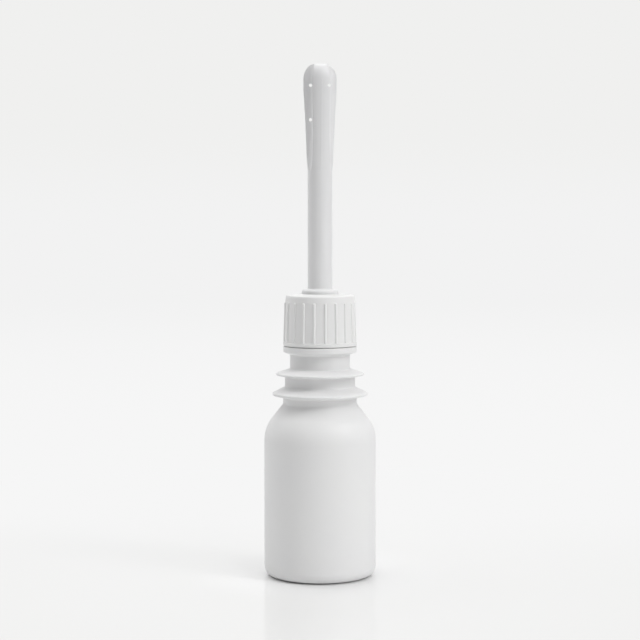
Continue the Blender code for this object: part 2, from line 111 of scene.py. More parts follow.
class Slot(Enum):
    """The record's material slots."""

    BOTTLE = "bottle_plastic"
    CAP = "cap_plastic"
    NOZZLE = "nozzle_plastic"
    WASHER = "washer_foam"
    VALVE = "valve_plastic"


# ---- Curves and surfaces -------------------------------------------------------------------------


def ease(share: Array) -> Array:
    """Smooth step of a share held between 0 and 1: s * s * (3 - 2 s)."""
    held = np.clip(share, 0, 1)
    return held * held * (3 - 2 * held)


def fillet(corners: list[tuple[float, float, float]], pieces: int) -> Array:
    """Rounds the corners of an open line in the plane of radius and height.

    At a corner with unit vectors u and v towards its neighbours and half the angle h between them, the
    arc's centre is corner + (u + v) / |u + v| * radius / sin h, and it touches both sides at
    radius / tan h from the corner.

    Args:
        corners: (radius, height, rounding) of each corner; the ends aren't rounded.
        pieces: Steps along each arc.

    Returns:
        Points as an (n, 2) array.
    """
    made = [np.array([corners[0][:2]])]
    for before, here, after in zip(corners, corners[1:], corners[2:]):
        corner, rounding = np.array(here[:2]), here[2]
        if rounding == 0:
            made.append(corner[None])
            continue
        sides = np.array([before[:2], after[:2]]) - corner
        sides /= np.linalg.norm(sides, axis=1)[:, None]
        half = np.arccos(np.clip(sides[0] @ sides[1], -1, 1)) / 2
        middle = sides.sum(0) / np.linalg.norm(sides.sum(0))
        centre = corner + middle * rounding / np.sin(half)
        first, last = corner + sides * rounding / np.tan(half) - centre
        start = np.arctan2(first[1], first[0])
        sweep = (np.arctan2(last[1], last[0]) - start + pi) % (2 * pi) - pi
        angles = start + sweep * np.linspace(0, 1, pieces + 1)
        made.append(centre + rounding * np.stack([np.cos(angles), np.sin(angles)], 1))
    made.append(np.array([corners[-1][:2]]))
    return np.concatenate(made)


def ellipse_arc(centre: Pair, radii: Pair, start: float, end: float,
                pieces: int) -> Array:
    """Points centre + (a cos t, b sin t), in equal steps of t from start to end, in degrees."""
    angles = np.radians(np.linspace(start, end, pieces + 1))
    return np.array(centre) + np.array(radii) * np.stack([np.cos(angles), np.sin(angles)], 1)


def refine(profile: Array, spacing: float) -> Array:
    """Adds points along a line: a stretch of length L gets ceil(L / spacing) equal steps."""
    stretches = np.diff(profile, axis=0)
    counts = np.maximum(1, np.ceil(np.linalg.norm(stretches, axis=1) / spacing)).astype(int)
    index = np.repeat(np.arange(len(counts)), counts)
    share = (np.arange(counts.sum()) - np.repeat(np.cumsum(counts) - counts, counts)) / counts[index]
    return np.vstack([profile[index] + share[:, None] * stretches[index], profile[-1]])


def through(places: Array, values: Array, wanted: Array) -> Array:
    """A smooth curve through points, which never overshoots between them.

    Between two points it is the cubic with their heights and slopes, and the slope at a point is the
    harmonic mean of the slopes on its two sides, or 0 where they differ in sign.

    Args:
        places: Increasing places of the points.
        values: Their heights.
        wanted: Places where the curve is read.

    Returns:
        The curve's heights there.
    """
    widths = np.diff(places)
    rises = np.diff(values) / widths
    product = rises[:-1] * rises[1:]
    inner = np.where(product > 0, 2 * product / np.where(product > 0, rises[:-1] + rises[1:], 1), 0)
    slopes = np.concatenate([[0], inner, [0]])
    index = np.clip(np.searchsorted(places, wanted, side="right") - 1, 0, len(widths) - 1)
    share = np.clip((wanted - places[index]) / widths[index], 0, 1)
    rest = 1 - share
    return (values[index] * (1 + 2 * share) * rest**2 + values[index + 1] * (3 - 2 * share) * share**2
            + widths[index] * (slopes[index] * share * rest**2 - slopes[index + 1] * share**2 * rest))


def ring(count: int, lines: tuple[float, ...] = ()) -> Array:
    """Angles round the axis in radians, in equal steps but for closer ones beside each mould line."""
    reach, apart = 0.9, 0.3
    angles = np.linspace(-180, 180, count, endpoint=False)
    near = np.abs((angles[:, None] - np.array(lines) + 180) % 360 - 180)
    angles = angles[np.all(near > reach + apart, axis=1)] if lines else angles
    extra = [(line + reach * np.linspace(-1, 1, 9) + 180) % 360 - 180 for line in lines]
    return np.radians(np.sort(np.concatenate([angles, *extra])))


def mould_line(radius: float, angles: Array) -> Array:
    """Height of the two parting lines: a bell, h exp(-(x / w)^2), at x = radius sin a from each."""
    return LINE_HEIGHT * np.exp(-(radius * np.sin(angles) / LINE_WIDTH) ** 2)


def turn(profile: Array, angles: Array, swell: Array | float = 0) -> Array:
    """Turns rows of (radius, height) about the axis: (r cos a, r sin a, z) with r = radius + swell.

    The angles are one for each column, or one for each point as a (rows, columns) array.
    """
    radii = profile[:, :1] + swell + 0 * angles
    heights = profile[:, 1:] + 0 * radii
    return np.stack([radii * np.cos(angles), radii * np.sin(angles), heights], -1)


def smooth(mesh: bpy.types.Mesh) -> None:
    """Smooths a mesh except at its sharp edges."""
    mesh.shade_smooth()
    mesh.set_sharp_from_angle(angle=SHARP)


def lay(name: str, grid: Array, looped: bool = False) -> Thing:
    """Makes an object of a grid whose rows run round the axis, its outer rows running downwards.

    A quad joins each point to the next row and the next column, and the last column to the first. A
    first or last row that has shrunk to one point becomes a pole with a fan of triangles.

    Args:
        name: Name of the object.
        grid: (rows, columns, 3) points in millimetres.
        looped: Whether the last row joins the first.

    Returns:
        The object, at the origin, in metres.
    """
    poles = [not looped and float(np.ptp(grid[end], axis=0).max()) < 1e-6 for end in (0, -1)]
    body = grid[int(poles[0]):len(grid) - int(poles[1])]
    columns = body.shape[1]
    number = np.arange(body.shape[0] * columns).reshape(-1, columns)
    upper = number if looped else number[:-1]
    lower = np.roll(number, -1, axis=0) if looped else number[1:]
    quads = np.stack([upper, lower, np.roll(lower, -1, 1), np.roll(upper, -1, 1)], -1).reshape(-1, 4)
    faces = quads.tolist()
    points = [body.reshape(-1, 3)]
    if poles[0]:
        top = np.full(columns, number.size)
        faces += np.stack([top, number[0], np.roll(number[0], -1)], -1).tolist()
        points.append(grid[0, :1])
    if poles[1]:
        foot = np.full(columns, number.size + int(poles[0]))
        faces += np.stack([number[-1], foot, np.roll(number[-1], -1)], -1).tolist()
        points.append(grid[-1, :1])
    mesh = bpy.data.meshes.new(name)
    mesh.from_pydata((np.concatenate(points) * MM).tolist(), [], faces)
    mesh.validate()
    smooth(mesh)
    made = bpy.data.objects.new(name, mesh)
    bpy.context.scene.collection.objects.link(made)
    return made


def lay_skins(name: str, outer: Array, inner: Array, radius: float) -> Thing:
    """Lays a turned wall in one loop, its outer skin downwards with the mould lines, its inner one up."""
    rows = np.vstack([outer, inner])
    angles = ring(COLUMNS, PARTING)
    raised = (np.arange(len(rows)) < len(outer))[:, None] * mould_line(radius, angles)
    return lay(name, turn(rows, angles, raised), looped=True)


class Coat(NamedTuple):
    """A material and a slot of the record."""

    finish: Material
    slot: Slot


def put(piece: Thing, bodies: tuple[Body, ...], coat: Coat, stands_for: tuple[str, ...] = (),
        heights: tuple[float, ...] = ()) -> None:
    """Dresses a piece and lets it ride on one body, or bakes a soft web's place into its mesh, and hides the
    solids that it stands for.

    Args:
        piece: The finished object.
        bodies: The body that it rides on; a soft web's two bodies are not used.
        coat: Its material, and a slot that is not used.
        stands_for: Names of the solids that it replaces.
        heights: Given for a soft web, in millimetres; only whether they are given is used.
    """
    finish, slot = coat
    piece.data.materials.append(finish)
    if heights:
        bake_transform(piece)
    else:
        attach(piece, bodies[0].value)
    if stands_for:
        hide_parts(*stands_for)
    points = len(piece.data.vertices)
    LOG.info("%-22s %6d points, %6d faces", piece.name, points, len(piece.data.polygons))


def cut(piece: Thing, tool: Thing) -> None:
    """Cuts a tool out of a piece for good, and removes the tool."""
    change = piece.modifiers.new("cut", "BOOLEAN")
    change.operation, change.solver, change.object = "DIFFERENCE", "EXACT", tool
    seen = piece.evaluated_get(bpy.context.evaluated_depsgraph_get())
    mesh = bpy.data.meshes.new_from_object(seen)
    piece.modifiers.clear()
    piece.data = mesh
    mesh.name = piece.name
    smooth(mesh)
    bpy.data.objects.remove(tool)


# ---- Finishes ------------------------------------------------------------------------------------


def linear(code: str) -> tuple[float, float, float, float]:
    """Turns an sRGB hex colour to linear light: c / 12.92, or ((c + 0.055) / 1.055) ** 2.4 above 0.04045."""
    parts = [int(code[place:place + 2], 16) / 255 for place in (1, 3, 5)]
    red, green, blue = (c / 12.92 if c <= 0.04045 else ((c + 0.055) / 1.055) ** 2.4 for c in parts)
    return red, green, blue, 1.0


def add(tree: Tree, kind: str, inputs: dict[Any, Any] | None = None, **settings: Any) -> bpy.types.Node:
    """Adds a node with its settings and links.

    Args:
        tree: The tree that gets it.
        kind: The node's type.
        inputs: For each socket's name or number, a value or the output socket that feeds it.
        settings: The node's own properties.

    Returns:
        The node.
    """
    node = tree.nodes.new(kind)
    for key, value in settings.items():
        setattr(node, key, value)
    for key, value in (inputs or {}).items():
        if isinstance(value, Socket):
            tree.links.new(value, node.inputs[key])
        else:
            node.inputs[key].default_value = value
    return node


def reckon(tree: Tree, operation: str, first: Socket | float, second: Socket | float) -> Socket:
    """Adds one step of arithmetic."""
    return add(tree, "ShaderNodeMath", {0: first, 1: second}, operation=operation).outputs[0]


def scale(tree: Tree, value: Socket, source: Pair, target: Pair = (0, 1),
          steps: str = "SMOOTHSTEP") -> Socket:
    """Maps a value from one range to another, held at its ends, by a smooth step unless told otherwise."""
    return add(tree, "ShaderNodeMapRange", {
        "Value": value, "From Min": source[0], "From Max": source[1], "To Min": target[0],
        "To Max": target[1]}, interpolation_type=steps).outputs["Result"]


def tone(tree: Tree, share: Socket, first: Socket | str, second: Socket | str) -> Socket:
    """Mixes two colours, each a socket or an sRGB hex code, by a share."""
    pair = (linear(one) if isinstance(one, str) else one for one in (first, second))
    return add(tree, "ShaderNodeMix", dict(zip((0, 6, 7), (share, *pair))), data_type="RGBA").outputs[2]


def noise(tree: Tree, place: Socket, size: float, detail: float, roughness: float = 0.5) -> Socket:
    """Adds noise with patches of a size in millimetres."""
    return add(tree, "ShaderNodeTexNoise", {"Vector": place, "Scale": 1 / (size * MM), "Detail": detail,
                                            "Roughness": roughness}).outputs["Fac"]


def bump(tree: Tree, height: Socket, depth: float, under: Socket | None = None) -> Socket:
    """Adds a bump of a depth in millimetres, on top of another one if that is given."""
    inputs = {"Height": height, "Strength": 1.0, "Distance": depth * MM}
    if under is not None:
        inputs["Normal"] = under
    return add(tree, "ShaderNodeBump", inputs).outputs["Normal"]


def blank(name: str) -> tuple[Material, Tree, Socket]:
    """Makes an empty material, and returns it with its tree and its Object coordinates."""
    made = bpy.data.materials.new(name)
    made.use_nodes = True
    made.node_tree.nodes.clear()
    return made, made.node_tree, add(made.node_tree, "ShaderNodeTexCoord").outputs["Object"]


def plastic(tree: Tree, inputs: dict[str, Any]) -> None:
    """Ends a material's tree in a Principled shader that isn't metal."""
    shader = add(tree, "ShaderNodeBsdfPrincipled", {"Metallic": 0.0} | inputs)
    add(tree, "ShaderNodeOutputMaterial", {"Surface": shader.outputs["BSDF"]})


@dataclass(frozen=True)
class MouldedPlastic:
    """A moulded polyolefin: body colour with a faint cloudiness, mould grain and slow waves of its wall.

    Attributes:
        name: Real material and how its surface was made.
        colour: Body colour, sRGB hex.
        cloud: Colour of its slightly thinner, cooler patches.
        roughness: Roughness at the smooth and at the rough patches.
        ior: Index of refraction.
        grain: Size of the mould's blasted grain, in millimetres as all the lengths here.
        grain_depth: Its depth.
        wave: Length of the wall's waves.
        wave_depth: Their depth.
        along: How many times longer the grain is up the axis than across it.
        patches: How many times longer the cloudy patches are than the waves.
    """

    name: str
    colour: str
    cloud: str
    roughness: Pair
    ior: float
    grain: float
    grain_depth: float
    wave: float
    wave_depth: float
    along: float = 1.0
    patches: float = 2.2

    def material(self) -> Material:
        """Builds a Principled material whose bump, colour and roughness follow Object coordinates."""
        made, tree, place = blank(self.name)
        drawn = add(tree, "ShaderNodeMapping", {"Vector": place, "Scale": (1, 1, 1 / self.along)})
        grain = noise(tree, drawn.outputs["Vector"], self.grain, 3.0, 0.55)
        wave = noise(tree, drawn.outputs["Vector"], self.wave, 1.0, 0.4)
        cloud = noise(tree, place, self.patches * self.wave, 2.0)
        slow = bump(tree, wave, self.wave_depth)
        plastic(tree, {
            "Base Color": tone(tree, cloud, self.colour, self.cloud),
            "Roughness": scale(tree, grain, (0.3, 0.7), self.roughness, "LINEAR"),
            "IOR": self.ior, "Normal": bump(tree, grain, self.grain_depth, slow)})
        return made


@dataclass(frozen=True)
class FoamSheet:
    """Foamed polyethylene sheet, die cut: matt and dry, with closed cells that show as shallow pits, each
    painted darker towards its floor as shade.
    """

    name: str = "white foamed polyethylene, die cut"
    colour: str = "#efefec"
    pit_shade: str = "#dededa"
    cell: float = 0.35
    cell_depth: float = 0.05
    roughness: float = 0.85
    ior: float = 1.5

    def material(self) -> Material:
        """Builds the material."""
        made, tree, place = blank(self.name)
        cells = add(tree, "ShaderNodeTexVoronoi", {"Vector": place, "Scale": 1 / (self.cell * MM)})
        middle = cells.outputs["Distance"]
        # The pit colour follows the bump's depth: painted shade in the pits.
        plastic(tree, {"Base Color": tone(tree, middle, self.pit_shade, self.colour), "IOR": self.ior,
                       "Roughness": self.roughness, "Normal": bump(tree, middle, self.cell_depth)})
        return made


@dataclass(frozen=True)
class NaturalPlastic:
    """Unpigmented polyethylene, extruded: milky, a little see-through, with faint lines along its draw."""

    name: str = "natural polyethylene, extruded"
    colour: str = "#e4e6e1"
    thin: str = "#d9ddd8"
    line: float = 0.5
    line_depth: float = 0.01
    draw: float = 0.03
    roughness: float = 0.32
    ior: float = 1.51
    clear: float = 0.25

    def material(self) -> Material:
        """Builds the material."""
        made, tree, place = blank(self.name)
        drawn = add(tree, "ShaderNodeMapping", {"Vector": place, "Scale": (1, 1, self.draw)})
        lines = noise(tree, drawn.outputs["Vector"], self.line, 2.0)
        plastic(tree, {"Base Color": tone(tree, lines, self.colour, self.thin), "IOR": self.ior,
                       "Roughness": self.roughness, "Transmission Weight": self.clear,
                       "Normal": bump(tree, lines, self.line_depth)})
        return made


@dataclass(frozen=True)
class Tabletop:
    """A white glazed table that pales into the background away from the bottle.

    Camera, glossy and see-through rays meet it pale, a little darker before the bottle as painted shade on
    the floor; to the light it is a plain surface up to the sheet's edge and past that a dark grey that paints
    the shade of the unlit room, and close round the bottle its contact shadow and its faint reflection lie on
    it. Distances are in millimetres from the bottle's axis.

    Attributes:
        name: Real material and how its surface was made.
        colour: Colour of the glazed sheet under the bottle.
        room: Painted shade past the sheet: a dark grey that the light meets in place of the unlit room.
        front: The pale colour before the bottle, darker than middle: painted shade on the floor.
        middle: The pale colour behind it.
        far: The pale colour at the horizon.
        contact: Distances over which the bottle's contact shadow gives way to the first pale share.
        first: That share.
        ior: Index of refraction of the glaze.
        reach: Distances over which the rest of the pale share comes in.
        behind: Distances behind the bottle over which front turns to middle.
        distant: Distances over which middle turns to far.
        sheet: Distances over which the sheet ends and the painted shade of the room starts.
        glaze: Roughness at the smooth and at the rough patches.
        patches: How many of these fit in a metre.
    """

    name: str = "white glazed tabletop"
    colour: str = "#ebebeb"
    room: str = "#606060"
    front: str = "#f0f0ef"
    middle: str = "#f6f6f6"
    far: str = "#f2f2f2"
    contact: Pair = (23.0, 60.0)
    first: float = 0.7
    ior: float = 1.45
    reach: Pair = (60.0, 300.0)
    behind: Pair = (-25.0, 150.0)
    distant: Pair = (300.0, 2600.0)
    sheet: Pair = (300.0, 900.0)
    glaze: Pair = (0.07, 0.12)
    patches: float = 140.0

    def material(self) -> Material:
        """Builds the material; each share is a smooth step of a distance between its two limits."""
        made, tree, place = blank(self.name)
        flat = add(tree, "ShaderNodeVectorMath", {0: place, 1: (1, 1, 0)}, operation="MULTIPLY")
        away = add(tree, "ShaderNodeVectorMath", {0: flat.outputs[0]}, operation="LENGTH").outputs["Value"]
        back = add(tree, "ShaderNodeSeparateXYZ", {0: place}).outputs["Y"]
        near, rest, front, far, past = (
            scale(tree, distance, (start * MM, end * MM), (0, most))
            for distance, (start, end), most in (
                (away, self.contact, self.first), (away, self.reach, 1.0),
                (back, self.behind, 1.0), (away, self.distant, 1.0), (away, self.sheet, 1.0)))
        grain = add(tree, "ShaderNodeTexNoise", {"Vector": place, "Scale": self.patches, "Detail": 2.0})
        ray = add(tree, "ShaderNodeLightPath").outputs
        seen = ray["Is Camera Ray"]
        for other in ("Is Glossy Ray", "Is Transmission Ray"):
            seen = reckon(tree, "MAXIMUM", seen, ray[other])
        shown, pale = reckon(tree, "MULTIPLY", near, seen), reckon(tree, "MULTIPLY", rest, seen)
        mirror = add(tree, "ShaderNodeFresnel", {"IOR": self.ior}).outputs["Fac"]
        milk = reckon(tree, "MULTIPLY", shown, reckon(tree, "SUBTRACT", 1.0, mirror))
        # Past the sheet the light meets the room colour, a painted shade of the unlit room.
        sheet = tone(tree, past, self.colour, self.room)
        # The pale ground is darker before the bottle than behind it: painted shade on the floor.
        ground = tone(tree, far, tone(tree, front, self.front, self.middle), self.far)
        surface = add(tree, "ShaderNodeBsdfPrincipled", {
            "Base Color": tone(tree, shown, sheet, "#000000"), "IOR": self.ior,
            "Roughness": scale(tree, grain.outputs["Fac"], (0, 1), self.glaze, "LINEAR"),
            "Emission Color": ground, "Emission Strength": milk})
        glow = add(tree, "ShaderNodeEmission", {"Color": ground, "Strength": 1.0})
        both = add(tree, "ShaderNodeMixShader", {0: pale, 1: surface.outputs["BSDF"],
                                                 2: glow.outputs["Emission"]})
        add(tree, "ShaderNodeOutputMaterial", {"Surface": both.outputs["Shader"]})
        return made


# Low-density polyethylene, blow moulded: soft satin, faintly wavy where the wall cooled on the mould.
# Real mould grain is about 0.1 mm; it is drawn at 0.5 mm so that it can show.
BOTTLE_FINISH = MouldedPlastic("white low-density polyethylene, blow moulded", "#e9e9e8", "#e5e5e6",
                               (0.44, 0.52), 1.51, 0.5, 0.006, 11.0, 0.03)
# Polypropylene, injection moulded in a spark-eroded cavity: crisp satin, a little glossier.
CAP_FINISH = MouldedPlastic("white polypropylene, injection moulded", "#ebebea", "#e8e8e8",
                            (0.36, 0.44), 1.49, 0.4, 0.005, 7.0, 0.008)
# Medium-density polyethylene, injection moulded round a core: smooth, drawn lines up the stem.
NOZZLE_FINISH = MouldedPlastic("white medium-density polyethylene, injection moulded", "#e8e8e8",
                               "#e4e4e5", (0.34, 0.42), 1.53, 0.45, 0.004, 6.0, 0.012, 6.0)


# ---- Threads -------------------------------------------------------------------------------------

# Spacing of the rows that carry a thread, in millimetres.
THREAD_STEP = 0.24


@dataclass(frozen=True)
class Thread:
    """A right-hand thread with a rounded crest.

    Attributes:
        low: Height of its lower end.
        pitch: Climb of one turn.
        turns: Its length in turns.
        start: Angle of its lower end, in turns.
        height: How far the crest stands off.
        root: Half its width at the foot.
        crest: Half its width at the crest.
        fade: Turns over which each end runs out.
    """

    low: float
    pitch: float = 4.2333
    turns: float = 1.5
    start: float = 0.05
    height: float = 1.15
    root: float = 1.15
    crest: float = 0.45
    fade: float = 0.06

    def rise(self, heights: Array, angles: Array) -> Array:
        """How far the thread stands off at each height and angle.

        The crest line climbs as z = low + pitch (s - start) with s in turns. Of the windings
        s = angle / 2 pi + k the nearest is taken; at a distance d from it the section is
        height * ease((root - |d|) / (root - crest)), and both ends ease out over fade turns.
        """
        part = angles / (2 * pi)
        nearest = self.start + (heights - self.low) / self.pitch
        along = part + np.round(nearest - part)
        away = np.abs(heights - self.low - self.pitch * (along - self.start))
        left = np.minimum(along - self.start, self.start + self.turns - along) / self.fade
        return self.height * ease((self.root - away) / (self.root - self.crest)) * ease(left)


# ---- Bottle --------------------------------------------------------------------------------------


@dataclass
class Bottle:
    """The blow-moulded body from its recessed base to the throat, in one closed shell.

    Attributes:
        corner: Half axes of the rounded foot, across and up.
        under: How far the foot is cut in under that, across and up.
        ring_width: Width of the ring that it stands on.
        recess: Half axes of the step up to the recessed base.
        shoulder_angle: Angle up to which the shoulder is round, in degrees.
    """

    radius: float = reach_of("bottle_body") - LINE_HEIGHT
    wall: float = 0.9
    corner: Pair = (2.6, 4.4)
    under: Pair = (0.9, 0.45)
    ring_width: float = 3.6
    recess: Pair = (1.4, 1.2)
    side_top: float = 57.1
    shoulder_radius: float = 16.0
    shoulder_angle: float = 38.5
    throat: float = 15.5
    top: float = head_of("bottle_body") - 0.14

    def skin(self, inset: float) -> Array:
        """Outline from the throat down to the middle of the base, inset from the outer skin."""
        rounding = self.shoulder_radius
        lean = radians(self.shoulder_angle)
        centre = self.radius - rounding
        arc_r = centre + (rounding - inset) * cos(lean)
        arc_z = self.side_top + (rounding - inset) * sin(lean)
        throat = self.throat - inset
        throat_z = arc_z + (arc_r - throat) / tan(lean)
        throat_end = [(throat, self.top, 0), (throat, throat_z, 1.6), (arc_r, arc_z, 0)]
        shoulder = ellipse_arc((centre, self.side_top), (rounding - inset,) * 2, self.shoulder_angle, 0, 22)
        foot = self.radius - self.corner[0]
        radii = (self.corner[0] - inset / 2, self.corner[1] - self.under[1] - inset)
        side = ellipse_arc((self.radius - inset - radii[0], self.corner[1]), radii, 0, -90, 14)
        inner = foot - self.ring_width
        edge_r, edge_z = self.recess
        step = ellipse_arc((inner - edge_r, inset), (edge_r, edge_z), 0, 90, 8)
        stand = [(foot - inset / 2 - self.under[0], inset)]
        middle = [(0, self.recess[1] + inset)]
        return np.vstack([fillet(throat_end, 8)[:-1], shoulder, side, stand, step, middle])

    def build(self, coat: Coat) -> None:
        """Lays the shell: the inner skin runs up from the base, the outer one down to it."""
        inner, outer = refine(self.skin(self.wall)[::-1], 2.5), refine(self.skin(0), 2.5)
        profile = np.vstack([inner, outer])
        angles = ring(COLUMNS, PARTING)
        raised = (np.arange(len(profile)) >= len(inner)) & (profile[:, 0] > self.throat - 0.01)
        line = mould_line(self.radius, angles)
        shell = lay("bottle_shell", turn(profile, angles, raised[:, None] * line))
        put(shell, (Body.BOTTLE,), coat, ("bottle_body",))
        put(self.pinch(), (Body.BOTTLE,), coat)

    def pinch(self) -> Thing:
        """The pinched-off seam across the recessed base, where the mould closed the tube's end.

        It is a bar along X with an elliptical section: (x, b cos t, z0 + c sin t), and both b and c
        shrink towards its ends with the square root of 1 - (x / half)^2.
        """
        half, across, deep = 13.0, 0.45, 0.32
        share = np.sin(np.linspace(-pi / 2, pi / 2, 33))[:, None]
        around = np.linspace(0, 2 * pi, 16, endpoint=False)[None]
        small = np.sqrt(np.clip(1 - share**2, 0, 1))
        x = half * share + 0 * around
        y = across * small * np.cos(around)
        z = self.recess[1] + deep * small * np.sin(around)
        return lay("base_pinch_seam", np.stack([x, y, z], -1)[::-1])


@dataclass
class Pleat:
    """One pleat: a soft web with the rim below, and a soft cone above it, each spanning one joint.

    Attributes:
        below: Radius of the tube under it.
        above: Radius of the tube over it.
        rim: Radius of its edge.
        rim_z: Height of the edge.
        rim_half: Half the edge's thickness.
        web: Heights of the underside at the tube and at the rim.
        cone: Height where the cone meets the tube above.
        ends: Heights where the pleat's tube ends meet its neighbours.
        joint: Height of the ring that the web and the cone share.
        bodies: The bodies below, at and above the pleat.
        node: The solid it stands for.
    """

    below: float
    above: float
    rim: float
    rim_z: float
    rim_half: float
    web: Pair
    cone: float
    ends: Pair
    joint: float
    bodies: tuple[Body, Body, Body]
    node: str
    wall: float = 0.8

    def joint_radius(self) -> float:
        """Radius of the shared ring, on the straight line from the rim's arc to the tube above."""
        low_r = self.rim - self.rim_half / 2
        low_z = self.rim_z + self.rim_half * sin(pi / 3)
        return low_r + (self.above - low_r) * (self.joint - low_z) / (self.cone - low_z)

    def build(self, coat: Coat) -> None:
        """Lays both halves."""
        shared = self.joint_radius()
        centre = self.rim - self.rim_half
        edge = ellipse_arc((centre, self.rim_z), (self.rim_half,) * 2, 60, -90, 12)
        under = fillet([(centre, self.web[1], 0), (self.below, self.web[0], 0.45),
                        (self.below, self.ends[0], 0)], 8)[1:]
        outer = refine(np.vstack([[(shared, self.joint)], edge, under]), 0.5)
        inner = refine(np.array([
            (self.below - self.wall, self.ends[0]), (self.below - self.wall, self.web[0]),
            (self.rim - 2.2, self.web[1] + 0.05), (self.rim - 1.5, self.rim_z),
            (shared - 1.2, self.joint)]), 0.8)
        web = lay_skins(f"{self.node}_web", outer, inner, self.rim)
        put(web, self.bodies[:2], coat, (self.node,), self.web)
        outer = refine(fillet([(self.above, self.ends[1], 0), (self.above, self.cone, 0.7),
                               (shared, self.joint, 0)], 8), 0.4)
        inner = refine(np.array([
            (shared - 1.2, self.joint), (self.above - self.wall, self.cone - 0.1),
            (self.above - self.wall, self.ends[1])]), 0.8)
        cone = lay_skins(f"{self.node}_cone", outer, inner, self.rim)
        put(cone, self.bodies[1:], coat, (), (self.joint, self.cone))


@dataclass
class Bellows:
    """Both pleats and the plain band between them."""

    tube: float = 15.5
    waist: float = reach_of("pleat_waist")
    neck: float = 12.57
    waist_wall: float = 0.8
    tuck: float = 0.3

    def build(self, coat: Coat) -> None:
        """Lays the two pleats and the waist; their ends meet a little off the solids' seams."""
        first, second, third, last = (
            foot_of(node) - SEAM / 2 for node in ("lower_pleat", "pleat_waist", "upper_pleat", "bottle_neck"))
        ends = (first - self.tuck, second + self.tuck, third + self.tuck / 2, last + self.tuck)
        Pleat(self.tube, self.waist, reach_of("lower_pleat"), first + 1.9, 0.65,
              (first + 0.5, first + 1.25), first + 4.9, (ends[0], ends[1]), first + 2.8,
              (Body.BOTTLE, Body.LOWER_BELLOWS, Body.WAIST), "lower_pleat").build(coat)
        bore = self.waist - self.waist_wall
        outer, inner = ([(self.waist, ends[2]), (self.waist, ends[1])], [(bore, ends[1]), (bore, ends[2])])
        band = lay_skins("bellows_waist", np.array(outer), np.array(inner), self.waist)
        put(band, (Body.WAIST,), coat, ("pleat_waist",))
        Pleat(self.waist, self.neck, reach_of("upper_pleat"), third + 1.5, 0.5,
              (third + 0.5, third + 1.0), third + 3.8, (ends[2], ends[3]), third + 2.16,
              (Body.WAIST, Body.UPPER_BELLOWS, Body.NECK), "upper_pleat").build(coat)


@dataclass
class Neck:
    """The neck with its transfer ring and the threaded finish.

    Attributes:
        finish: Height of the rim over the solid's transfer ring.
        tuck: How much higher the visible ring reaches into the gap under the cap.
        chamfer: Height of the slant under the ring.
        thread_drop: Depth of the thread's lower end under the rim.
    """

    radius: float = 12.57
    low: float = foot_of("bottle_neck") + 0.15
    ring_radius: float = reach_of("bottle_neck")
    rim_z: float = head_of("bottle_neck")
    finish: float = 16.6
    ring: float = 3.4
    tuck: float = 0.17
    chamfer: float = 1.1
    mouth: float = 10.6
    bore: float = 11.57
    thread_drop: float = 8.2

    def build(self, coat: Coat) -> None:
        """Lays the neck; the thread is raised on the outer skin of the finish."""
        ring_top = self.rim_z - self.finish + self.tuck
        ring_low = ring_top - self.ring - self.tuck
        outer = fillet([
            (self.mouth + 0.2, self.rim_z, 0), (self.radius, self.rim_z, 0.35),
            (self.radius, ring_top, 0.25), (self.ring_radius, ring_top, 0.45),
            (self.ring_radius, ring_low + self.chamfer, 0.5), (self.radius, ring_low, 0.35),
            (self.radius, self.low, 0)], 6)
        inner = fillet([
            (self.bore, self.low, 0), (self.bore, ring_top, 0.6), (self.mouth, ring_top + 3, 0.6),
            (self.mouth, self.rim_z - 0.2, 0.1), (self.mouth + 0.2, self.rim_z, 0)], 4)[:-1]
        rows = refine(np.vstack([outer, inner]), THREAD_STEP)
        angles = ring(216, PARTING)
        heights = rows[:, 1:]
        skin = (rows[:, :1] > self.radius - 0.5) & (heights > ring_top + 0.3)
        under = (rows[:, :1] > self.radius - 0.05) & (heights < ring_top - 0.05)
        thread = Thread(self.rim_z - self.thread_drop).rise(heights, angles[None])
        swell = skin * thread + under * mould_line(self.radius, angles)
        neck = lay("neck_finish", turn(rows, angles, swell), looped=True)
        put(neck, (Body.NECK,), coat, ("bottle_neck",))


# ---- Closure -------------------------------------------------------------------------------------


